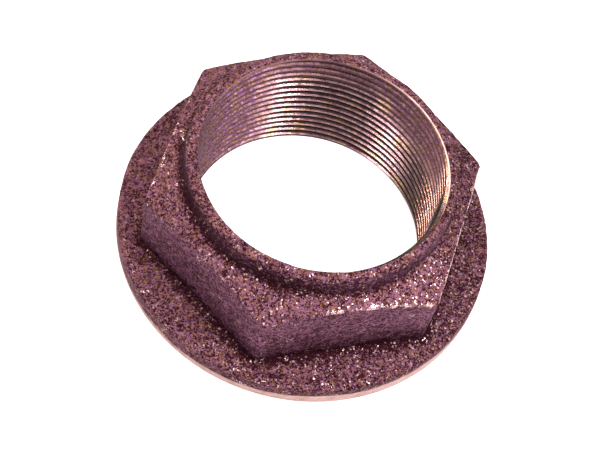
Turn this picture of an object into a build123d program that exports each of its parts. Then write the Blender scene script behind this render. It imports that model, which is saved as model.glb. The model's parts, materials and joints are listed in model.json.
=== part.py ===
from build123d import *
import math
import os

# A flanged hexagon nut with a thin locking collar: one forging, bored, threaded and faced.
# Millimetres.  The origin is where the thread's axis meets the bearing face, and +Z runs along
# the axis, from the bearing face to the collar.

# thread, metric fine, right-hand, with 60 degrees between its flanks
THREAD_MAJOR_D = 42.0
THREAD_PITCH = 1.5
THREAD_HALF_ANGLE = 30.0
THREAD_DEPTH = 0.54127 * THREAD_PITCH
MAJOR_R = THREAD_MAJOR_D / 2
MINOR_R = MAJOR_R - THREAD_DEPTH
ROOT_FLAT = THREAD_PITCH / 8
THREAD_OVERLAP = 0.3

# angle at which the middle of the thread's groove leaves the bearing face
THREAD_START = 255.0

# the small edge break at the two mouths of the bore, narrower than the thread is deep
EDGE_BREAK = 0.22

# overall
HEIGHT = 23.0

# flange
FLANGE_R = 32.25
RIM_HEIGHT = 4.2
RIM_ROUND = 0.7
RIM_CHAMFER = 0.4
FLANGE_CONE_TOP_R = 24.0
FLANGE_CONE_TOP_Z = 4.8

# hexagon
ACROSS_FLATS = 50.0
HEX_CORNER_R = ACROSS_FLATS / 2 / math.cos(math.radians(30))
HEX_EDGE_ROUND = 0.9
HEX_FOOT_FILLET = 0.6

# shoulder cone, from the hexagon's corners up to the collar
SHOULDER_Z_AT_CORNER = 16.1
SHOULDER_SLOPE = 26.0

# locking collar, a little narrower at its top than at its foot
COLLAR_FOOT_R = 22.5
COLLAR_TOP_R = 22.2
COLLAR_TOP_ROUND = 0.95
COLLAR_FOOT_FILLET = 0.9


def round_corner(section, r, z, radius):
    """A section in the XZ plane with its corner at (r, z) rounded."""
    corner = section.vertices().sort_by_distance((r, 0, z))[0]
    return fillet(corner, radius)


def shoulder_z(radius):
    """Height of the shoulder cone's surface at a radius from the axis."""
    rise = math.tan(math.radians(SHOULDER_SLOPE))
    return SHOULDER_Z_AT_CORNER + rise * (HEX_CORNER_R - radius)


def crown():
    """The turned shape inside the hexagon: a drum under the shoulder cone, with the collar on top."""
    foot = shoulder_z(COLLAR_FOOT_R)
    outline = Polyline(
        (0, 0, 0),
        (HEX_CORNER_R, 0, 0),
        (HEX_CORNER_R, 0, SHOULDER_Z_AT_CORNER),
        (COLLAR_FOOT_R, 0, foot),
        (COLLAR_TOP_R, 0, HEIGHT),
        (0, 0, HEIGHT),
        close=True,
    )
    section = make_face(outline)
    section = round_corner(section, COLLAR_FOOT_R, foot, COLLAR_FOOT_FILLET)
    section = round_corner(section, COLLAR_TOP_R, HEIGHT, COLLAR_TOP_ROUND)
    return revolve(section, Axis.Z)


def hexagon():
    """The six wrench flats as a prism, two of them facing +X and -X, with its edges eased."""
    prism = extrude(RegularPolygon(HEX_CORNER_R, 6, rotation=30), HEIGHT)
    return fillet(prism.edges().filter_by(Axis.Z), HEX_EDGE_ROUND)


def flange():
    """The wide foot, with a faintly coned top and a rounded upper rim edge."""
    outline = Polyline(
        (0, 0, 0),
        (FLANGE_R - RIM_CHAMFER, 0, 0),
        (FLANGE_R, 0, RIM_CHAMFER),
        (FLANGE_R, 0, RIM_HEIGHT),
        (FLANGE_CONE_TOP_R, 0, FLANGE_CONE_TOP_Z),
        (0, 0, FLANGE_CONE_TOP_Z),
        close=True,
    )
    section = round_corner(make_face(outline), FLANGE_R, RIM_HEIGHT, RIM_ROUND)
    return revolve(section, Axis.Z)


def is_hexagon_foot(edge):
    """Whether an edge runs round the foot of the hexagon, where it meets the flange's top."""
    ends = [edge @ 0, edge @ 1]
    low = all(RIM_HEIGHT < end.Z < FLANGE_CONE_TOP_Z for end in ends)
    near = all(ACROSS_FLATS / 2 < math.hypot(end.X, end.Y) < HEX_CORNER_R for end in ends)
    return low and near


def forging():
    """The blank before it is bored: flange, hexagon, shoulder and collar in one solid."""
    blank = flange() + (crown() & hexagon())
    foot_edges = [edge for edge in blank.edges() if is_hexagon_foot(edge)]
    return fillet(foot_edges, HEX_FOOT_FILLET)


def groove_half_width(radius):
    """Half the width of the thread's groove at a radius from the axis."""
    return ROOT_FLAT / 2 + (MAJOR_R - radius) * math.tan(math.radians(THREAD_HALF_ANGLE))


def tap():
    """The threaded hole as a solid: a core at the minor diameter with the helical thread on it."""
    inner = MINOR_R - THREAD_OVERLAP
    outline = Polyline(
        (inner, 0, -groove_half_width(inner)),
        (MAJOR_R, 0, -groove_half_width(MAJOR_R)),
        (MAJOR_R, 0, groove_half_width(MAJOR_R)),
        (inner, 0, groove_half_width(inner)),
        close=True,
    )
    start = (0, 0, -THREAD_PITCH)
    helix = Helix(THREAD_PITCH, HEIGHT + 2 * THREAD_PITCH, MINOR_R, center=start)
    thread = sweep(Pos(*start) * make_face(outline), path=helix, is_frenet=True)
    core = Pos(0, 0, HEIGHT / 2) * Cylinder(MINOR_R, HEIGHT + 4 * THREAD_PITCH)
    return Rot(0, 0, THREAD_START) * (core + thread)


def edge_break():
    """The small cone that breaks the edge of the bore's mouth at Z = 0, wide end down."""
    mouth = MINOR_R + EDGE_BREAK
    return Cone(mouth, MINOR_R, EDGE_BREAK, align=(Align.CENTER, Align.CENTER, Align.MIN))


def flanged_nut():
    """The finished nut."""
    upper_edge_break = Pos(0, 0, HEIGHT) * Rot(180, 0, 0) * edge_break()
    return forging() - tap() - edge_break() - upper_edge_break


os.makedirs("parts", exist_ok=True)
export_step(flanged_nut(), "parts/flanged_nut.step")
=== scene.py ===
"""A forged flange nut with a locking collar and a fine thread, on a pale studio floor."""

import json
import math

import bmesh
import bpy
import numpy as np
from mathutils import Matrix, Vector, noise


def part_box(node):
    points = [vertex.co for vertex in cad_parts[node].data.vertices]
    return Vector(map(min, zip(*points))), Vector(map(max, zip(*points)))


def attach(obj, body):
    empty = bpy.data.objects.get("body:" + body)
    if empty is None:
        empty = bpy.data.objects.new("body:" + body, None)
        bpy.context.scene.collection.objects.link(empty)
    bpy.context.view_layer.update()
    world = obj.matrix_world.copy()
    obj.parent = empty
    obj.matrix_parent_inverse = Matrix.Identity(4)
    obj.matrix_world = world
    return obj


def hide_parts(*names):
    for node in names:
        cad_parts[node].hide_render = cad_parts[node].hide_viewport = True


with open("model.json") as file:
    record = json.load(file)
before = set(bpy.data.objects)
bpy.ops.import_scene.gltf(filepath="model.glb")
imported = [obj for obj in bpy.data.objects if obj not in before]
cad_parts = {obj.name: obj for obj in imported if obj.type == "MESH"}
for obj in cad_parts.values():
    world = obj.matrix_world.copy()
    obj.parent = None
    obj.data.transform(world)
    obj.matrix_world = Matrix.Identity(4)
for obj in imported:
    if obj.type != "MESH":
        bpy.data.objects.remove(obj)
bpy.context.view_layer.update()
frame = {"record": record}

bl_info = {
    "name": "Locking Flange Nut",
    "version": (1, 0, 0),
    "blender": (4, 5, 0),
    "location": "View3D > Sidebar > Flange Nut",
    "description": "Builds a forged flange nut with its thread, and a pale floor to show it on",
    "category": "Add Mesh",
}

MM = 0.001
NODE = "flanged_nut"
NODE_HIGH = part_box(NODE)[1]
THREAD_MOUNT = next(m for m in frame["record"]["mounts"] if m["name"] == "thread")

# how finely the nut's skin is divided, and how far its columns crowd together at the corners
COLUMNS_PER_FLAT = 60
COLUMNS = 6 * COLUMNS_PER_FLAT
CORNER_CROWDING = 0.55
ARC_STEPS = 5
MOUTH_STEPS = 2
BEARING_FACE_STEPS = 6
BAND_STEPS = 5
RIM_STEPS = 2
FLANGE_STEPS = 13
FLAT_STEPS = 22
SHOULDER_STEPS = 11
COLLAR_STEPS = 4
COLLAR_TOP_STEPS = 2

# how far the mesh is kept inside the nut's outside box
INSIDE_BOX = 0.02 * MM

# sizes of the rounded and chamfered edges
RIM_CHAMFER = 0.4 * MM
RIM_ROUND = 0.7 * MM
FOOT_ROUND = 0.7 * MM
LEDGE_ROUND = 0.35 * MM
GROOVE_ROUND = 0.9 * MM
COLLAR_ROUND = 0.95 * MM

# the flange's top climbs this much on its way in to this radius
FLANGE_CLIMB = 0.6 * MM
FLANGE_CONE_TOP = 24.0 * MM

# the forged skin starts this far inside the turned band, over a step of this height
BAND_STEP_IN = 0.06 * MM
BAND_STEP_UP = 0.08 * MM

# the turned band is tallest where the forging stood out furthest in the lathe, has this share of
# its height on the other side, and gets lower all the sooner the larger its power
BAND_TALLEST = math.radians(-42)
BAND_NARROW = 0.38
BAND_POWER = 4

# how the band's upper edge wanders: height in millimetres, length in millimetres, seed
BAND_WANDER = ((0.34, 9.0, 3.1), (0.20, 2.6, 5.3))

# the thread's depth for a pitch of 1, and its section over one pitch: how far along it, and how
# far down towards the root
THREAD_DEPTH = 0.54127
THREAD_SECTION = (
    (-0.415, 0.0),
    (-0.355, 0.06),
    (-0.21, 0.50),
    (-0.07, 0.96),
    (0.07, 0.96),
    (0.21, 0.50),
    (0.355, 0.06),
    (0.415, 0.0),
)

# the skin's bumps: height in parts of the roughness, length in millimetres, seed; and how far the
# whole skin is sunk, in parts of the roughness
SCALE_BUMPS = ((1.3, 7.0, 1.0), (0.9, 1.9, 2.0), (1.1, 0.85, 3.0), (0.7, 0.45, 4.0))
SKIN_SUNK = 0.8

# knocks in the forging: where each is, how wide it is and how deep, in millimetres
KNOCKS = (
    ((0.0, -28.6, 12.0), 2.2, 0.55),
    ((1.9, -27.6, 11.4), 0.9, 0.35),
)

SKIN, CUT, TURNED = range(3)

# patches of dull film on the thread: the angle each is at, the narrowest and widest cosine from
# there that it reaches, the heights in millimetres over which it comes in, and its strength
THREAD_FILMS = (
    (math.radians(46), 0.85, 0.97, 10.0, 17.0, 0.90),
    (math.radians(184), 0.42, 0.78, -8.0, 4.0, 1.0),
    (math.radians(98), 0.30, 0.90, 15.5, 21.0, 0.85),
)

# how worn the skin is at the top of the hexagon's sides, with a painted highlight on the wear, by the
# angle round the nut in degrees
LEDGE_WEAR_AND_HIGHLIGHT = (
    (-90, 0.35),
    (-60, 0.85),
    (-33, 1.0),
    (-27, 0.6),
    (30, 0.5),
    (90, 0.3),
    (150, 0.3),
    (180, 0.65),
    (208, 0.45),
    (215, 0.2),
    (270, 0.35),
)

# how wide the wear and its painted highlight are where there is hardly any, and how much wider they get
# where there is most
WEAR_WIDTH = 0.25 * MM
WEAR_WIDENS = 0.42 * MM

# the fine painted highlight along one flat's upper edge: how bright it is, by the angle in degrees
EDGE_HIGHLIGHT = ((-30, 0.0), (-28, 1.5), (28, 1.5), (31, 0.0))
EDGE_HIGHLIGHT_WIDTH = 0.3 * MM

# the slight wear where the turned band meets the skin
RIM_WEAR = 0.25
RIM_WEAR_WIDTH = 0.5 * MM

# how much shade is painted on the collar's outside, by the angle round the nut in degrees
COLLAR_SHADE = (
    (-90, 0.95),
    (-55, 0.6),
    (-30, 0.25),
    (60, 0.2),
    (150, 0.5),
    (180, 0.95),
    (270, 0.95),
)
GROOVE_SHADE_WIDTH = 0.9 * MM

# how much shade is painted at the hexagon's foot, how wide it is, and how far out its middle lies
FOOT_SHADE = 0.9
FOOT_SHADE_WIDTH = 1.0 * MM
FOOT_SHADE_OUT = 0.3 * MM


# ---------------------------------------------------------------- settings


class NutSizes(bpy.types.PropertyGroup):
    """The nut's shape."""

    flange_radius: bpy.props.FloatProperty(
        name="Flange radius",
        description="Radius of the turned rim round the flange",
        default=NODE_HIGH[0] - INSIDE_BOX,
        unit="LENGTH",
    )
    height: bpy.props.FloatProperty(
        name="Height",
        description="From the bearing face to the top of the collar",
        default=NODE_HIGH[2] - INSIDE_BOX,
        unit="LENGTH",
    )
    across_flats: bpy.props.FloatProperty(
        name="Across flats",
        description="Distance between two opposite wrench flats",
        default=50.0 * MM,
        unit="LENGTH",
    )
    corner_round: bpy.props.FloatProperty(
        name="Corner rounding",
        description="Radius of the hexagon's upright edges",
        default=0.9 * MM,
        unit="LENGTH",
    )
    flange_height: bpy.props.FloatProperty(
        name="Flange height",
        description="Height of the forged upper edge of the flange",
        default=4.2 * MM,
        unit="LENGTH",
    )
    turned_height: bpy.props.FloatProperty(
        name="Turned band",
        description="How far up the rim the lathe tool has cleaned the forged skin away, at most",
        default=2.6 * MM,
        unit="LENGTH",
    )
    shoulder_height: bpy.props.FloatProperty(
        name="Shoulder height",
        description="Height of the hexagon's upper corners",
        default=16.1 * MM,
        unit="LENGTH",
    )
    shoulder_slope: bpy.props.FloatProperty(
        name="Shoulder slope",
        description="Slope of the cone between the hexagon and the collar",
        default=math.radians(26.0),
        subtype="ANGLE",
        unit="ROTATION",
    )
    collar_radius: bpy.props.FloatProperty(
        name="Collar radius",
        description="Outside radius of the thin locking collar at its foot",
        default=22.5 * MM,
        unit="LENGTH",
    )
    collar_top_radius: bpy.props.FloatProperty(
        name="Collar top radius",
        description="Outside radius of the locking collar at its top",
        default=22.2 * MM,
        unit="LENGTH",
    )
    mouth_chamfer: bpy.props.FloatProperty(
        name="Mouth chamfer",
        description="Width of the chamfer round each mouth of the bore",
        default=0.22 * MM,
        unit="LENGTH",
    )
    thread_crest_radius: bpy.props.FloatProperty(
        name="Thread crest radius",
        description="Radius of the bore at the thread's crests",
        default=THREAD_MOUNT["dims"]["r_mm"] * MM,
        unit="LENGTH",
    )
    thread_start: bpy.props.FloatProperty(
        name="Thread start",
        description="Angle at which the middle of the thread's groove leaves the bearing face",
        default=math.radians(255.0),
        subtype="ANGLE",
        unit="ROTATION",
    )
    thread_pitch: bpy.props.FloatProperty(
        name="Thread pitch",
        description="Distance from one thread crest to the next",
        default=1.5 * MM,
        unit="LENGTH",
    )
    roughness_depth: bpy.props.FloatProperty(
        name="Forged roughness",
        description="Depth of the scale marks in the forged skin",
        default=0.055 * MM,
        unit="LENGTH",
    )


class NutFinish(bpy.types.PropertyGroup):
    """The colours of the nut's three surfaces."""

    skin_dark: bpy.props.FloatVectorProperty(
        name="Skin, dark",
        description="The forged skin in its hollows",
        default=(0.022, 0.003, 0.007),
        subtype="COLOR",
        size=3,
    )
    skin_light: bpy.props.FloatVectorProperty(
        name="Skin, light",
        description="The forged skin on its high spots",
        default=(0.252, 0.104, 0.116),
        subtype="COLOR",
        size=3,
    )
    skin_brown: bpy.props.FloatVectorProperty(
        name="Skin, brown",
        description="Brown oxide between the grains of the forged skin",
        default=(0.240, 0.100, 0.038),
        subtype="COLOR",
        size=3,
    )
    skin_purple: bpy.props.FloatVectorProperty(
        name="Skin, purple",
        description="Thin oxide on the smoother parts of the forged skin",
        default=(0.215, 0.086, 0.195),
        subtype="COLOR",
        size=3,
    )
    # painted highlight: the colour of the glints painted on bare grains
    painted_glint: bpy.props.FloatVectorProperty(
        name="Glint",
        description="Bare grains that catch the light",
        default=(0.68, 0.46, 0.44),
        subtype="COLOR",
        size=3,
    )
    thread: bpy.props.FloatVectorProperty(
        name="Cut thread",
        description="The steel of the cut thread",
        default=(0.330, 0.200, 0.195),
        subtype="COLOR",
        size=3,
    )
    turned: bpy.props.FloatVectorProperty(
        name="Turned steel",
        description="The steel of the turned rim and bearing face",
        default=(0.42, 0.262, 0.245),
        subtype="COLOR",
        size=3,
    )
    # painted highlight: the upper mouth's colour, much lighter than the turned steel
    mouth: bpy.props.FloatVectorProperty(
        name="Upper mouth",
        description="The steel of the bore's upper edge, polished by handling",
        default=(0.80, 0.58, 0.50),
        subtype="COLOR",
        size=3,
    )


class StudioSettings(bpy.types.PropertyGroup):
    """The floor, lights and camera."""

    floor_colour: bpy.props.FloatVectorProperty(
        name="Floor",
        description="Colour of the plain floor",
        default=(0.96, 0.955, 0.955),
        subtype="COLOR",
        size=3,
    )
    floor_glow: bpy.props.FloatProperty(
        name="Floor glow",
        description="How much light comes through the floor from below, as on a light table",
        default=0.45,
        min=0.0,
    )
    surround: bpy.props.FloatProperty(
        name="Surround",
        description="Strength of the even light from all round",
        default=0.34,
        min=0.0,
    )
    lens: bpy.props.FloatProperty(
        name="Lens",
        description="Focal length of the camera",
        default=90.0,
        subtype="DISTANCE_CAMERA",
        unit="CAMERA",
    )


# ---------------------------------------------------------------- shader maths


class Wire:
    """What comes out of a shader node, with sums on numbers written as in Python."""

    def __init__(self, shader, socket):
        self.shader = shader
        self.socket = socket

    def maths(self, operation, *others):
        """A Math node on this number and up to two others."""
        inputs = dict(enumerate((self, *others)))
        return self.shader.wire("ShaderNodeMath", {"operation": operation}, inputs)

    def __add__(self, other):
        return self.maths("ADD", other)

    __radd__ = __add__

    def __sub__(self, other):
        return self.maths("SUBTRACT", other)

    def __rsub__(self, other):
        return (self * -1.0) + other

    def __mul__(self, other):
        return self.maths("MULTIPLY", other)

    __rmul__ = __mul__

    def __truediv__(self, other):
        return self.maths("DIVIDE", other)

    def __pow__(self, other):
        return self.maths("POWER", other)

    def most(self, other):
        """The larger of the two."""
        return self.maths("MAXIMUM", other)

    def least(self, other):
        """The smaller of the two."""
        return self.maths("MINIMUM", other)

    def ramp(self, low, high, start=0.0, end=1.0):
        """A smooth climb from start to end as this number goes from low to high."""
        settings = {"interpolation_type": "SMOOTHSTEP", "clamp": True}
        inputs = {
            "Value": self,
            "From Min": low,
            "From Max": high,
            "To Min": start,
            "To Max": end,
        }
        return self.shader.wire("ShaderNodeMapRange", settings, inputs)


class Shader:
    """A new material and the nodes in it."""

    def __init__(self, name):
        self.material = bpy.data.materials.new(name)
        self.material.use_nodes = True
        self.tree = self.material.node_tree
        self.tree.nodes.clear()

    def node(self, kind, settings=None, inputs=None):
        """A node of a kind, with its settings made first and then its sockets filled or linked."""
        made = self.tree.nodes.new(kind)
        for name, value in (settings or {}).items():
            setattr(made, name, value)
        for key, value in (inputs or {}).items():
            socket = made.inputs[key]
            if isinstance(value, Wire):
                self.tree.links.new(value.socket, socket)
            else:
                socket.default_value = value
        return made

    def wire(self, kind, settings=None, inputs=None, output=0):
        """A node's output, ready for sums."""
        return Wire(self, self.node(kind, settings, inputs).outputs[output])

    def position(self):
        """The place on the nut, in millimetres."""
        place = self.wire("ShaderNodeTexCoord", output="Object")
        return self.wire(
            "ShaderNodeVectorMath", {"operation": "SCALE"}, {0: place, "Scale": 1 / MM}
        )

    def grain(self, place, size, detail=2.0, roughness=0.55, seed=0.0):
        """Soft noise, from 0 to 1, with features of a size in millimetres."""
        settings = {"noise_dimensions": "4D"}
        inputs = {
            "Vector": place,
            "W": seed,
            "Scale": 1.0 / size,
            "Detail": detail,
            "Roughness": roughness,
        }
        return self.wire("ShaderNodeTexNoise", settings, inputs)

    def parts(self, kind, source):
        """The three numbers in a vector or colour."""
        return [Wire(self, socket) for socket in self.node(kind, inputs={0: source}).outputs]

    def grit(self, place, size, seed=0.0):
        """Three random numbers from 0 to 1 for each grain of a size in millimetres."""
        settings = {"voronoi_dimensions": "4D"}
        inputs = {"Vector": place, "W": seed, "Scale": 1.0 / size}
        colour = self.wire("ShaderNodeTexVoronoi", settings, inputs, output="Color")
        return self.parts("ShaderNodeSeparateColor", colour)

    def painted(self, name):
        """A number kept with the mesh's points."""
        return self.wire("ShaderNodeAttribute", {"attribute_name": name}, output="Fac")

    def upright(self):
        """1 on upright faces and 0 on level ones."""
        normal = self.wire("ShaderNodeNewGeometry", output="Normal")
        lean = self.parts("ShaderNodeSeparateXYZ", normal)[2].maths("ABSOLUTE")
        return lean.ramp(0.25, 0.60, 1.0, 0.0)

    def mix(self, amount, first, second):
        """A colour between two."""
        inputs = {0: amount, 6: first, 7: second}
        return self.wire("ShaderNodeMix", {"data_type": "RGBA"}, inputs, output=2)

    def bump(self, height, distance):
        """A normal from a height; distance is the depth of one unit, in millimetres."""
        inputs = {"Strength": 1.0, "Distance": distance * MM, "Height": height}
        return self.wire("ShaderNodeBump", inputs=inputs)

    def finish(self, inputs):
        """The material's surface, from what goes into its main shader."""
        surface = self.wire("ShaderNodeBsdfPrincipled", inputs=inputs)
        self.node("ShaderNodeOutputMaterial", inputs={"Surface": surface})
        return self.material


def colour(value):
    """A colour setting with its alpha."""
    return (*value, 1.0)


# sizes of the skin's marks, in millimetres
SKIN_CLOUDS = 5.0
SKIN_MOTTLE = 0.9
SKIN_GRIT = 0.31
SKIN_FINE_GRIT = 0.19
SKIN_PATCHES = 1.6

# how much each kind of mark has to do with how light the skin is
MOTTLE_SHARE = 0.22
GRIT_SHARE = 0.38
FINE_GRIT_SHARE = 0.40
CLOUD_SHARE = 0.30

# the mottle that goes from its darkest to its lightest, and the lightness that the skin does
MOTTLE_RANGE = (0.32, 0.70)
LIGHTNESS_RANGE = (0.27, 0.73)

# how much painted shade or painted light the skin gets in some places
PAINTED_SHADE_UPRIGHT = 0.05
DARKER_IN_PAINTED_SHADE = 0.32
PAINTED_SHADE_FLANGE_SIDE = 0.07
PAINTED_LIGHT_SHOULDER_SIDE = 0.03
PAINTED_SHADE_FAR_SHOULDER = 0.13

# stretches of the nut in millimetres, each as where it starts to count and where it counts fully
ACROSS = (-22.0, 22.0)
GLINT_SIDE = (-24.0, 8.0)
FAR_SIDE = (12.0, 26.0)
FAR_BACK = (-14.0, 2.0)
ABOVE_FLANGE = (5.0, 12.0)
ABOVE_RIM = (3.5, 5.5)
ABOVE_MIDDLE = (8.0, 12.0)
MOUTH_HIGHLIGHT_SIDE = (2.0, 14.0)

# which grains are brown and which are purple, and how purple the upright faces are
BROWN_GRAINS = (0.45, 0.75)
PURPLE_GRAINS = (0.50, 0.80)
PURPLE_UPRIGHT = 0.40

# which grains get painted glints, on which mottle, the share that does on the side with fewest, and the
# share that doesn't on upright faces
GLINTING_GRIT = (0.958, 0.975)
GLINTING_FINE_GRIT = (0.965, 0.985)
BARED_MOTTLE = (0.42, 0.54)
FEWEST_GLINTS = 0.25
GLINTS_LOST_UPRIGHT = 0.8

# how much of each kind of mark makes up a scuff, worn and lit by a painted highlight, how much there has
# to be, and a scuff's edge
SCUFF_WEAR = 0.72
SCUFF_PATCHES = 2.2
SCUFF_GRIT = 0.60
SCUFF_FINE_GRIT = 0.45
SCUFF_NEEDS = 2.07
SCUFF_EDGE = (0.12, 0.30)

# the colour of the skin's gloss where it is seen edge on
SKIN_GLOSS_TINT = (0.45, 0.24, 0.27, 1.0)

# the depth in millimetres of the skin's bumps, and how much of its grit upright faces lose
SKIN_BUMP = 0.20
GRIT_LOST_UPRIGHT = 0.6


def skin_lightness(skin, place, marks, upright):
    """How light the forged skin is, from about 0 to 1, with painted shade and painted light in places."""
    mottle, grit, fine = marks
    x, y, z = skin.parts("ShaderNodeSeparateXYZ", place)
    clouds = skin.grain(place, SKIN_CLOUDS, detail=3.0, seed=1.0)
    level = mottle.ramp(*MOTTLE_RANGE) * MOTTLE_SHARE
    level = level + grit * GRIT_SHARE + fine * FINE_GRIT_SHARE
    level = level + (clouds - 0.5) * CLOUD_SHARE
    # painted shade: darker on the upright faces, in the groove round the collar and at the hexagon's foot
    level = level - upright * PAINTED_SHADE_UPRIGHT - skin.painted("painted_shade") * DARKER_IN_PAINTED_SHADE
    # painted shade low down and painted light higher up towards one side, and painted shade on the far
    # shoulder
    side = x.ramp(*ACROSS)
    high = z.ramp(*ABOVE_FLANGE)
    level = level - side * (1.0 - high) * PAINTED_SHADE_FLANGE_SIDE
    level = level + side * high * PAINTED_LIGHT_SHOULDER_SIDE
    return level - x.ramp(*FAR_SIDE) * y.ramp(*FAR_BACK) * high * PAINTED_SHADE_FAR_SHOULDER


def skin_material(finish):
    """The dark oxide skin of the forging: mottled, gritty and full of small painted glints."""
    skin = Shader("forged_skin")
    place = skin.position()
    x, y, z = skin.parts("ShaderNodeSeparateXYZ", place)
    upright = skin.upright()
    mottle = skin.grain(place, SKIN_MOTTLE, detail=4.0, roughness=0.75, seed=2.0)
    grit, hue, bare = skin.grit(place, SKIN_GRIT, seed=3.0)
    fine, fine_hue, fine_bare = skin.grit(place, SKIN_FINE_GRIT, seed=4.0)

    brown = hue.ramp(*BROWN_GRAINS)
    tint = skin.mix(brown, colour(finish.skin_light), colour(finish.skin_brown))
    purple = fine_hue.ramp(*PURPLE_GRAINS).most(upright * z.ramp(*ABOVE_RIM) * PURPLE_UPRIGHT)
    tint = skin.mix(purple, tint, colour(finish.skin_purple))
    level = skin_lightness(skin, place, (mottle, grit, fine), upright)
    base = skin.mix(level.ramp(*LIGHTNESS_RANGE), colour(finish.skin_dark), tint)

    # painted glints: bare grains lightened as highlights, more on one side and fewer on upright faces
    sparkle = bare.ramp(*GLINTING_GRIT).most(fine_bare.ramp(*GLINTING_FINE_GRIT))
    bared = mottle.ramp(*BARED_MOTTLE) * x.ramp(*GLINT_SIDE, FEWEST_GLINTS, 1.0)
    glints = sparkle * bared * (1.0 - upright * GLINTS_LOST_UPRIGHT)
    patchy = skin.grain(place, SKIN_PATCHES, detail=2.0, seed=11.0)
    # scuffs: edge wear lightened as a painted highlight, like the glints
    scuff_and_highlight = skin.painted("wear_and_highlight") * SCUFF_WEAR + patchy * SCUFF_PATCHES
    scuff_and_highlight = scuff_and_highlight + bare * SCUFF_GRIT + fine_bare * SCUFF_FINE_GRIT - SCUFF_NEEDS
    painted_glints_and_wear = glints.most(scuff_and_highlight.ramp(*SCUFF_EDGE))

    height = mottle * 0.5 + (grit * 0.30 + fine * 0.25) * (1.0 - upright * GRIT_LOST_UPRIGHT)
    return skin.finish(
        {
            "Base Color": skin.mix(painted_glints_and_wear, base, colour(finish.painted_glint)),
            "Metallic": painted_glints_and_wear * 0.4 + 0.45,
            "Roughness": 0.62 - painted_glints_and_wear * 0.3 - grit * 0.12,
            "Specular IOR Level": 0.2,
            "Specular Tint": SKIN_GLOSS_TINT,
            "Normal": skin.bump(height, SKIN_BUMP),
        }
    )


# sizes of the marks on the cut thread and the depth of its bumps, in millimetres
THREAD_STREAKS = 1.4
THREAD_GRIT = 0.26
THREAD_PATCHES = 3.0
THREAD_TOOL_MARKS = 0.25
THREAD_BUMP = 0.03

# how far down from the crests, in millimetres, their painted shade fades out and the roots' comes in
CREST_SHADE = (0.09, 0.19)
ROOT_SHADE = (0.52, 0.75)

# which streaks dull the steel, how much they and the grit dull it, and which patches are warm
DULL_STREAKS = (0.40, 0.66)
STREAKS_DULL = 0.55
GRIT_DULLS = 0.42
WARM_PATCHES = (0.48, 0.66)

# how far the film hides the painted shade of the crests and roots
FILM_HIDES = 0.9

# colours of the thread apart from its bright steel: two of painted shade, then dull and warm steel
THREAD_DEEPEST_SHADE = (0.006, 0.002, 0.003, 1.0)
THREAD_SHADE = (0.016, 0.005, 0.009, 1.0)
THREAD_DULL = (0.095, 0.036, 0.052, 1.0)
THREAD_WARM = (0.36, 0.215, 0.085, 1.0)


def thread_material(finish):
    """The cut thread: bright steel with tool marks, painted shade in its roots and on its crests, dull
    under old oxide.
    """
    cut = Shader("cut_thread")
    place = cut.position()
    x, y, z = cut.parts("ShaderNodeSeparateXYZ", place)
    radius = (x * x + y * y) ** 0.5
    crest = THREAD_MOUNT["dims"]["r_mm"]
    streaks = cut.grain(place, THREAD_STREAKS, detail=4.0, roughness=0.65, seed=6.0)
    grit, hue, bare = cut.grit(place, THREAD_GRIT, seed=7.0)

    film = 0.0
    for angle, narrow, wide, low, high, strength in THREAD_FILMS:
        facing = (x * math.cos(angle) + y * math.sin(angle)) / radius
        film = (facing.ramp(narrow, wide) * z.ramp(low, high, 0.0, strength)).most(film)
    film = film * (streaks + grit * 0.5 + 0.25).least(1.0)

    down = radius - crest
    clear = 1.0 - film * FILM_HIDES
    # painted shade in the thread's roots and along its crests, less where the film lies
    root = down.ramp(*ROOT_SHADE) * clear
    top = down.ramp(*CREST_SHADE, 1.0, 0.0) * clear
    dark = cut.mix(streaks.ramp(0.3, 0.7), THREAD_DEEPEST_SHADE, THREAD_SHADE)
    dull = streaks.ramp(*DULL_STREAKS) * STREAKS_DULL + grit * GRIT_DULLS
    warm = cut.grain(place, THREAD_PATCHES, detail=2.0, seed=12.0).ramp(*WARM_PATCHES)
    metal = cut.mix(warm * (hue * 0.6 + 0.4), colour(finish.thread), THREAD_WARM)
    bright = cut.mix(dull, metal, THREAD_DULL)
    oxide = cut.mix(hue.ramp(0.3, 0.8), colour(finish.skin_purple), colour(finish.skin_brown))
    oxide = cut.mix(grit * 0.75, oxide, colour(finish.skin_dark))
    base = cut.mix(film, bright, oxide)
    marks = cut.grain(place, THREAD_TOOL_MARKS, detail=2.0, seed=8.0)
    return cut.finish(
        {
            "Base Color": cut.mix(root.most(top), base, dark),
            "Metallic": 0.95 - film * 0.5,
            "Specular IOR Level": 0.15,
            "Roughness": 0.17 + root * 0.12 + top * 0.25 + hue * 0.10 + film * 0.30,
            "Normal": cut.bump(marks + streaks * 0.5 + bare * 0.5, THREAD_BUMP),
        }
    )


# the lathe's rings, as radians of wave for each millimetre outward and upward
RINGS_OUTWARD = 21.0
RINGS_UPWARD = 24.0

# sizes in millimetres of the marks on the turned steel, how its stains show, and its darker colours
TURNED_STAINS = 2.2
TURNED_FLECKS = 0.35
TURNED_BUMP = 0.012
STAIN_EDGE = (0.48, 0.75)
STAIN_STRENGTH = 0.7
STAIN_COLOUR = (0.30, 0.15, 0.12, 1.0)
DULL_MOUTH = (0.17, 0.095, 0.090, 1.0)


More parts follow.
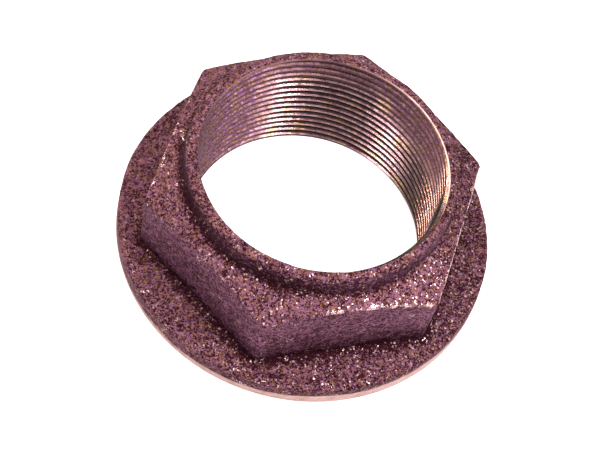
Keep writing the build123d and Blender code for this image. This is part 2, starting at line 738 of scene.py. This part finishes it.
def turned_material(finish):
    """The turned rim, bearing face and mouths: pale steel with the lathe's rings and some stains, and a
    painted highlight on the upper mouth.
    """
    turned = Shader("turned_steel")
    place = turned.position()
    x, y, z = turned.parts("ShaderNodeSeparateXYZ", place)
    radius = (x * x + y * y) ** 0.5
    rings = (radius * RINGS_OUTWARD + z * RINGS_UPWARD).maths("SINE")
    stains = turned.grain(place, TURNED_STAINS, detail=4.0, roughness=0.6, seed=9.0)
    fleck = turned.grit(place, TURNED_FLECKS, seed=10.0)[0]
    stain = (stains + fleck * 0.12).ramp(*STAIN_EDGE) * STAIN_STRENGTH
    # painted highlight on the upper mouth, bright on one side and dull on the other
    mouth = turned.mix(x.ramp(*MOUTH_HIGHLIGHT_SIDE), DULL_MOUTH, colour(finish.mouth))
    steel = turned.mix(z.ramp(*ABOVE_MIDDLE), colour(finish.turned), mouth)
    return turned.finish(
        {
            "Base Color": turned.mix(stain, steel, STAIN_COLOUR),
            "Metallic": 0.8,
            "Roughness": 0.42 + stains * 0.15 + fleck * 0.08,
            "Normal": turned.bump(rings * 0.5 + stains, TURNED_BUMP),
        }
    )


# ---------------------------------------------------------------- the nut's shape


def wave(point, scale, seed):
    """Smooth noise from about -1 to 1 at a place in metres, with features of the given size."""
    return noise.noise(Vector(point) / scale + Vector((seed, 2.7 * seed, -1.3 * seed)))


def waves(point, layers):
    """The sum of layers of smooth noise: height, length in millimetres and seed of each."""
    return sum(height * wave(point, length * MM, seed) for height, length, seed in layers)


def column_angles():
    """Angles round the axis, crowded together at the hexagon's corners."""
    angles = []
    for flat in range(6):
        middle = math.radians(60 * flat)
        for step in range(COLUMNS_PER_FLAT):
            across = 2 * step / COLUMNS_PER_FLAT - 1
            eased = math.sin(across * math.pi / 2)
            blend = CORNER_CROWDING * eased + (1 - CORNER_CROWDING) * across
            angles.append(middle + math.radians(30) * blend)
    return np.array(angles)


def hexagon_radius(angle, sizes):
    """Distance from the axis to the hexagon's side at an angle, with its corners rounded."""
    flat = sizes.across_flats / 2
    sixth = math.pi / 3
    from_flat = (angle + sixth / 2) % sixth - sixth / 2
    from_corner = sixth / 2 - abs(from_flat)
    centre = (flat - sizes.corner_round) / math.cos(sixth / 2)
    across = sizes.corner_round * math.sin(sixth / 2)
    along = centre + sizes.corner_round * math.cos(sixth / 2)
    if from_corner > math.atan2(across, along):
        return flat / math.cos(from_flat)
    side = centre * math.sin(from_corner)
    return centre * math.cos(from_corner) + math.sqrt(sizes.corner_round**2 - side**2)


def arc_at(before, here, after, radius):
    """The points of an arc that rounds the corner between two straight stretches."""
    back = (before - here) / np.linalg.norm(before - here)
    ahead = (after - here) / np.linalg.norm(after - here)
    half = math.acos(max(-1.0, min(1.0, float(back @ ahead)))) / 2
    reach = radius / math.tan(half)
    middle = here + (back + ahead) / np.linalg.norm(back + ahead) * radius / math.sin(half)
    first = here + back * reach - middle
    last = here + ahead * reach - middle
    points = []
    for step in range(ARC_STEPS + 1):
        part = first * (1 - step / ARC_STEPS) + last * (step / ARC_STEPS)
        points.append(middle + part / np.linalg.norm(part) * radius)
    return points


def rounded(corners):
    """Points along a line through corners (r, z, round radius, steps to the next corner, surface).

    Each round corner becomes an arc of ARC_STEPS, so every column has the same number of points.
    The surface changes one point after the corner.
    """
    line = [np.array(corner[:2]) for corner in corners]
    arcs = [[place] for place in line]
    for index, corner in enumerate(corners):
        if corner[2] > 0:
            arcs[index] = arc_at(*line[index - 1 : index + 2], corner[2])
    points = []
    surface_before = corners[0][4]
    for index, (*place, radius, steps, surface) in enumerate(corners):
        arc = arcs[index]
        points.append((*arc[0], surface_before))
        points += [(*point, surface) for point in arc[1:]]
        if index + 1 < len(corners):
            way = arcs[index + 1][0] - arc[-1]
            points += [(*(arc[-1] + way * step / steps), surface) for step in range(1, steps)]
        surface_before = surface
    return points


def shoulder_height(radius, sizes):
    """Height of the shoulder cone at a radius."""
    corner = sizes.across_flats / 2 / math.cos(math.pi / 6)
    return sizes.shoulder_height + math.tan(sizes.shoulder_slope) * (corner - radius)


def foot_height(hexagon, sizes):
    """Height of the hexagon's foot, where it meets the faintly coned flange."""
    climb = (sizes.flange_radius - hexagon) / (sizes.flange_radius - FLANGE_CONE_TOP)
    return sizes.flange_height + FLANGE_CLIMB * climb


def bore_radius(angle, z, sizes):
    """Radius of the threaded bore at an angle and height, opened out at its two mouths."""
    turns = z / sizes.thread_pitch - (angle - sizes.thread_start) / math.tau
    along = (turns + 0.5) % 1.0 - 0.5
    down = np.interp(along, *zip(*THREAD_SECTION))
    thread = sizes.thread_crest_radius + THREAD_DEPTH * sizes.thread_pitch * float(down)
    from_mouth = min(z, sizes.height - z)
    return max(thread, sizes.thread_crest_radius + sizes.mouth_chamfer - from_mouth)


def band_height(angle, sizes):
    """Height of the turned band at an angle, before its edge wanders."""
    towards = (0.5 + 0.5 * math.cos(angle - BAND_TALLEST)) ** BAND_POWER
    return sizes.turned_height * (BAND_NARROW + (1.0 - BAND_NARROW) * towards)


def outer_section(angle, sizes):
    """The outside of the nut at an angle, from the chamfer of one mouth round to the other's."""
    rim = sizes.flange_radius
    top = sizes.height
    around = (math.cos(angle) * rim, math.sin(angle) * rim, 0.0)
    turned = band_height(angle, sizes) + waves(around, BAND_WANDER) * MM
    forged_rim = rim - BAND_STEP_IN
    hexagon = hexagon_radius(angle, sizes)
    collar = sizes.collar_radius
    chamfer = [sizes.mouth_chamfer * step / MOUTH_STEPS for step in range(MOUTH_STEPS + 1)]
    lower = [(bore_radius(angle, z, sizes), z, 0.0, 1, TURNED) for z in reversed(chamfer)]
    upper = [(bore_radius(angle, top - z, sizes), top - z, 0.0, 1, TURNED) for z in chamfer]
    lower[-1] = (*lower[-1][:3], BEARING_FACE_STEPS, TURNED)
    skin = [
        (rim - RIM_CHAMFER, 0.0, 0.0, 1, TURNED),
        (rim, RIM_CHAMFER, 0.0, BAND_STEPS, TURNED),
        (rim, turned, 0.0, 1, SKIN),
        (forged_rim, turned + BAND_STEP_UP, 0.0, RIM_STEPS, SKIN),
        (forged_rim, sizes.flange_height, RIM_ROUND, FLANGE_STEPS, SKIN),
        (hexagon, foot_height(hexagon, sizes), FOOT_ROUND, FLAT_STEPS, SKIN),
        (hexagon, shoulder_height(hexagon, sizes), LEDGE_ROUND, SHOULDER_STEPS, SKIN),
        (collar, shoulder_height(collar, sizes), GROOVE_ROUND, COLLAR_STEPS, SKIN),
        (sizes.collar_top_radius, top, COLLAR_ROUND, COLLAR_TOP_STEPS, SKIN),
    ]
    return rounded(lower + skin + upper)


def bore_section(angle, sizes):
    """The threaded bore at an angle, from the upper chamfer down to the lower one.

    The rows follow the helix, so they are one pitch higher after each turn. Rows past a chamfer
    are laid on its edge, where they merge.
    """
    pitch = sizes.thread_pitch
    section_places = [along for along, down in THREAD_SECTION]
    points = []
    turns = math.ceil(sizes.height / pitch) + 1
    for turn in range(turns, -2, -1):
        for along in reversed(section_places):
            z = (turn + along + (angle - sizes.thread_start) / math.tau) * pitch
            z = min(max(z, sizes.mouth_chamfer), sizes.height - sizes.mouth_chamfer)
            points.append((bore_radius(angle, z, sizes), z, CUT))
    return points


def nut_points(sizes):
    """Every column's points as (columns, rows, 3), the surface of each row, and where the bore starts."""
    angles = column_angles()
    outers = [outer_section(angle, sizes) for angle in angles]
    bores = [bore_section(angle, sizes) for angle in angles]
    columns = [outer + bore for outer, bore in zip(outers, bores)]
    surfaces = [surface for r, z, surface in columns[0]]
    section = np.array([[point[:2] for point in column] for column in columns])
    r, z = section[..., 0], section[..., 1]
    around = angles[:, None]
    places = np.stack((r * np.cos(around), r * np.sin(around), z), axis=-1)
    return places, surfaces, len(outers[0])


def fade(distance, reach):
    """1 at no distance, falling smoothly to nothing by about twice the reach."""
    return math.exp(-((distance / reach) ** 2))


def outward(places):
    """The direction out of the skin at each point of the grid."""
    along = np.roll(places, -1, axis=1) - np.roll(places, 1, axis=1)
    across = np.roll(places, -1, axis=0) - np.roll(places, 1, axis=0)
    normal = np.cross(across, along)
    length = np.linalg.norm(normal, axis=-1, keepdims=True)
    return normal / np.maximum(length, 1e-12)


def knock_depth(place):
    """How deep the knocks are at a place."""
    return sum(
        deep * MM * fade(math.dist(place, [part * MM for part in centre]), wide / 2 * MM)
        for centre, wide, deep in KNOCKS
    )


def roughen(places, surfaces, outer_rows, sizes):
    """Pushes the forged skin in and out a little, as scale and the die leave it."""
    normals = outward(places)
    for row in range(outer_rows):
        if (surfaces[max(row - 1, 0)], surfaces[row]) != (SKIN, SKIN):
            continue
        for column in range(COLUMNS):
            place = places[column, row]
            push = sizes.roughness_depth * (waves(place, SCALE_BUMPS) - SKIN_SUNK)
            places[column, row] = place + normals[column, row] * (push - knock_depth(place))
    places[..., 2] = np.clip(places[..., 2], 0.0, sizes.height)


def point_beside(column, row, rows, outer_rows):
    """The number of the point in the next column that is on the same line of the grid.

    The bore's rows climb one pitch in a turn, so where the last column meets the first, each
    goes on as the first column's row one thread section above it.
    """
    after = (column + 1) % COLUMNS
    if after == 0 and row >= outer_rows:
        row = max(row - len(THREAD_SECTION), outer_rows)
    return after * rows + row


def nut_mesh(sizes):
    """The nut's closed mesh, with a surface number on each face."""
    places, surfaces, outer_rows = nut_points(sizes)
    roughen(places, surfaces, outer_rows, sizes)
    rows = places.shape[1]
    faces = []
    kinds = []
    for column in range(COLUMNS):
        for row in range(rows):
            below = (row + 1) % rows
            near = (column * rows + row, column * rows + below)
            far = [point_beside(column, each, rows, outer_rows) for each in (row, below)]
            faces.append((near[0], far[0], far[1], near[1]))
            kinds.append(surfaces[row] if row < outer_rows else CUT)
    mesh = bpy.data.meshes.new(NODE)
    mesh.from_pydata(places.reshape(-1, 3).tolist(), [], faces)
    mesh.polygons.foreach_set("material_index", kinds)
    return mesh


# points closer than this are one point, and edges sharper than this are kept crisp
SAME_PLACE = 0.001 * MM
CRISP_EDGE = math.radians(25)


def tidy_mesh(mesh):
    """Merges the rows that lie on each other at the mouths, and drops the faces that closed up."""
    work = bmesh.new()
    work.from_mesh(mesh)
    bmesh.ops.remove_doubles(work, verts=work.verts, dist=SAME_PLACE)
    bmesh.ops.dissolve_degenerate(work, edges=work.edges, dist=SAME_PLACE)
    bmesh.ops.recalc_face_normals(work, faces=work.faces)
    open_edges = sum(1 for edge in work.edges if not edge.is_manifold)
    if open_edges:
        raise RuntimeError(f"the nut's mesh has {open_edges} open edges")
    for face in work.faces:
        face.smooth = True
    work.to_mesh(mesh)
    work.free()
    mesh.set_sharp_from_angle(angle=CRISP_EDGE)


# how far below the collar's top the painted shade stops thinning, and how much less there is by then
COLLAR_SHADE_TOP_MARGIN = 1.3 * MM
COLLAR_SHADE_FADES = 0.35


def degrees_round(angle):
    """An angle in degrees, from -90 up to 270."""
    return (math.degrees(angle) + 90) % 360 - 90


def wear_and_highlight_at(angle, radius, z, sizes):
    """How worn the skin is, with its painted highlight: along the tops of the hexagon's sides, a little
    at the rim.
    """
    hexagon = hexagon_radius(angle, sizes)
    turned = degrees_round(angle)
    ledge = math.hypot(radius - hexagon, z - shoulder_height(hexagon, sizes))
    rim = math.hypot(radius - sizes.flange_radius, z - band_height(angle, sizes))
    worn = np.interp(turned, *zip(*LEDGE_WEAR_AND_HIGHLIGHT))
    line = np.interp(turned, *zip(*EDGE_HIGHLIGHT)) * fade(ledge, EDGE_HIGHLIGHT_WIDTH)
    scuffed = max(worn * fade(ledge, WEAR_WIDTH + WEAR_WIDENS * worn), line)
    return scuffed + RIM_WEAR * fade(rim, RIM_WEAR_WIDTH)


def painted_shade_at(angle, radius, z, sizes):
    """How much shade is painted on the skin: in the groove round the collar, and at the foot of the
    hexagon.
    """
    hexagon = hexagon_radius(angle, sizes)
    collar = sizes.collar_radius
    foot = math.hypot(radius - hexagon - FOOT_SHADE_OUT, z - foot_height(hexagon, sizes))
    low = shoulder_height(collar, sizes)
    high = sizes.height - COLLAR_SHADE_TOP_MARGIN
    up = min(max((z - low) / (high - low), 0.0), 1.0)
    wall = collar + (sizes.collar_top_radius - collar) * up
    groove = math.hypot(radius - wall, z - (low + (high - low) * up))
    sheltered = np.interp(degrees_round(angle), *zip(*COLLAR_SHADE))
    in_groove = sheltered * (1.0 - COLLAR_SHADE_FADES * up) * fade(groove, GROOVE_SHADE_WIDTH)
    return max(FOOT_SHADE * fade(foot, FOOT_SHADE_WIDTH), in_groove)


def paint(mesh, sizes):
    """Keeps with each of the mesh's points its wear with painted highlight, and its painted shade."""
    for name, amount in (("wear_and_highlight", wear_and_highlight_at), ("painted_shade", painted_shade_at)):
        values = []
        for vertex in mesh.vertices:
            x, y, z = vertex.co
            values.append(amount(math.atan2(y, x), math.hypot(x, y), z, sizes))
        layer = mesh.attributes.new(name, "FLOAT", "POINT")
        layer.data.foreach_set("value", values)


# ---------------------------------------------------------------- operators


class NUT_OT_body(bpy.types.Operator):
    """Build the nut: one closed mesh with forged, turned and threaded surfaces"""

    bl_idname = "nut.body"
    bl_label = "Build Nut"

    def execute(self, context):
        sizes = context.scene.nut_sizes
        finish = context.scene.nut_finish
        mesh = nut_mesh(sizes)
        for material in (skin_material(finish), thread_material(finish), turned_material(finish)):
            mesh.materials.append(material)
        tidy_mesh(mesh)
        paint(mesh, sizes)
        nut = bpy.data.objects.new("nut_forging", mesh)
        context.scene.collection.objects.link(nut)
        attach(nut, "root")
        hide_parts(NODE)
        return {"FINISHED"}


class NUT_OT_studio(bpy.types.Operator):
    """Set up the pale floor, the soft lights and the camera"""

    bl_idname = "nut.studio"
    bl_label = "Set Up Studio"

    def execute(self, context):
        studio = context.scene.nut_studio
        place_floor(context.scene, studio)
        place_lights(context.scene, studio)
        place_camera(context.scene, studio)
        return {"FINISHED"}


# how far the floor reaches from the axis, in flange radii
FLOOR_REACH = 40

# a hair above the bearing face, so that the two don't share a plane
FLOOR_HEIGHT = 0.01 * MM

# the size in millimetres of the floor's faint mottle, and its darker colour
FLOOR_MOTTLE = 30.0
FLOOR_SHADE = (0.8, 0.8, 0.8, 1.0)


def place_floor(scene, studio):
    """A wide plain floor under the nut."""
    work = bmesh.new()
    reach = FLOOR_REACH * NODE_HIGH[0]
    corners = [(-reach, -reach), (reach, -reach), (reach, reach), (-reach, reach)]
    work.faces.new([work.verts.new((x, y, FLOOR_HEIGHT)) for x, y in corners])
    mesh = bpy.data.meshes.new("floor")
    work.to_mesh(mesh)
    work.free()
    paper = Shader("floor_paper")
    mottle = paper.grain(paper.position(), FLOOR_MOTTLE, detail=2.0)
    shade = paper.mix(mottle * 0.04, colour(studio.floor_colour), FLOOR_SHADE)
    paper_inputs = {
        "Base Color": shade,
        "Roughness": 0.9,
        "Emission Color": colour(studio.floor_colour),
        "Emission Strength": studio.floor_glow,
    }
    mesh.materials.append(paper.finish(paper_inputs))
    floor = bpy.data.objects.new("floor", mesh)
    scene.collection.objects.link(floor)


# how far the soft lights stand from the middle of the nut
LIGHT_DISTANCE = 0.42
WHITE = (1.0, 1.0, 1.0)

# each soft light: name, the direction it comes from, how wide it is, its power and its colour
LIGHTS = (
    ("right_softbox", (0.49, -0.19, 0.85), 0.050, 0.80, WHITE),
    ("shoulder_softbox", (0.62, 0.12, 0.77), 0.100, 1.05, WHITE),
    ("left_softbox", (-0.40, -0.28, 0.87), 0.050, 0.58, WHITE),
    ("front_softbox", (0.0, -0.45, 0.89), 0.220, 0.16, (1.0, 0.94, 0.97)),
    ("low_softbox", (-0.735, 0.29, 0.61), 0.035, 0.42, (1.0, 0.84, 0.62)),
    ("edge_softbox", (-0.765, 0.43, 0.48), 0.050, 0.50, (1.0, 0.95, 0.84)),
    ("top_softbox", (0.0, 0.05, 1.0), 0.26, 0.80, WHITE),
)
SURROUND_COLOUR = (1.0, 0.97, 0.97, 1.0)


def place_lights(scene, studio):
    """Soft lights that look at the nut, and an even surround."""
    aim = Vector((0.0, 0.0, NODE_HIGH[2] / 2))
    for name, direction, width, power, tint in LIGHTS:
        lamp = bpy.data.lights.new(name, "AREA")
        lamp.size = width
        lamp.energy = power
        lamp.color = tint
        light = bpy.data.objects.new(name, lamp)
        towards = Vector(direction).normalized()
        light.location = aim + towards * LIGHT_DISTANCE
        light.rotation_euler = towards.to_track_quat("Z", "Y").to_euler()
        scene.collection.objects.link(light)
    world = bpy.data.worlds.new("surround")
    world.use_nodes = True
    back = world.node_tree.nodes["Background"]
    back.inputs["Color"].default_value = SURROUND_COLOUR
    back.inputs["Strength"].default_value = studio.surround
    scene.world = world
    scene.view_settings.view_transform = "Standard"


# where the camera stands: turned round the axis, raised, rolled, and offset in flange radii
CAMERA_TURN = math.radians(3.46)
CAMERA_RISE = math.radians(57.87)
CAMERA_ROLL = math.radians(-16.31)
CAMERA_OFFSET = (0.012, -0.040, -8.096)

# the camera's sensor in millimetres, and the nearest it sees in metres
SENSOR_WIDTH = 36.0
NEAREST_SEEN = 0.01


def place_camera(scene, studio):
    """A long lens, looking down at the nut from the front and leaning to one side."""
    radius = NODE_HIGH[0]
    back = Vector((0.0, -math.cos(CAMERA_RISE), math.sin(CAMERA_RISE)))
    right = Vector((1.0, 0.0, 0.0))
    up = back.cross(right)
    level = Matrix((right, up, back)).transposed()
    turn = Matrix.Rotation(CAMERA_TURN, 3, "Z") @ level @ Matrix.Rotation(-CAMERA_ROLL, 3, "Z")
    lens = bpy.data.cameras.new("camera")
    lens.lens = studio.lens
    lens.sensor_width = SENSOR_WIDTH
    lens.clip_start = NEAREST_SEEN
    camera = bpy.data.objects.new("camera", lens)
    place = turn @ Vector(CAMERA_OFFSET) * -radius
    camera.matrix_world = Matrix.Translation(place) @ turn.to_4x4()
    scene.collection.objects.link(camera)
    scene.camera = camera


class NUT_PT_panel(bpy.types.Panel):
    """The nut's settings and buttons"""

    bl_idname = "NUT_PT_panel"
    bl_label = "Flange Nut"
    bl_space_type = "VIEW_3D"
    bl_region_type = "UI"
    bl_category = "Flange Nut"

    def draw(self, context):
        for group, operator in (
            (context.scene.nut_sizes, None),
            (context.scene.nut_finish, NUT_OT_body.bl_idname),
            (context.scene.nut_studio, NUT_OT_studio.bl_idname),
        ):
            box = self.layout.box()
            for name in group.__annotations__:
                box.prop(group, name)
            if operator:
                self.layout.operator(operator)


CLASSES = (
    NutSizes,
    NutFinish,
    StudioSettings,
    NUT_OT_body,
    NUT_OT_studio,
    NUT_PT_panel,
)


def register():
    for cls in CLASSES:
        bpy.utils.register_class(cls)
    bpy.types.Scene.nut_sizes = bpy.props.PointerProperty(type=NutSizes)
    bpy.types.Scene.nut_finish = bpy.props.PointerProperty(type=NutFinish)
    bpy.types.Scene.nut_studio = bpy.props.PointerProperty(type=StudioSettings)


def unregister():
    del bpy.types.Scene.nut_studio
    del bpy.types.Scene.nut_finish
    del bpy.types.Scene.nut_sizes
    for cls in reversed(CLASSES):
        bpy.utils.unregister_class(cls)


def main():
    register()
    bpy.ops.nut.studio()
    bpy.ops.nut.body()


if __name__ == "__main__":
    main()
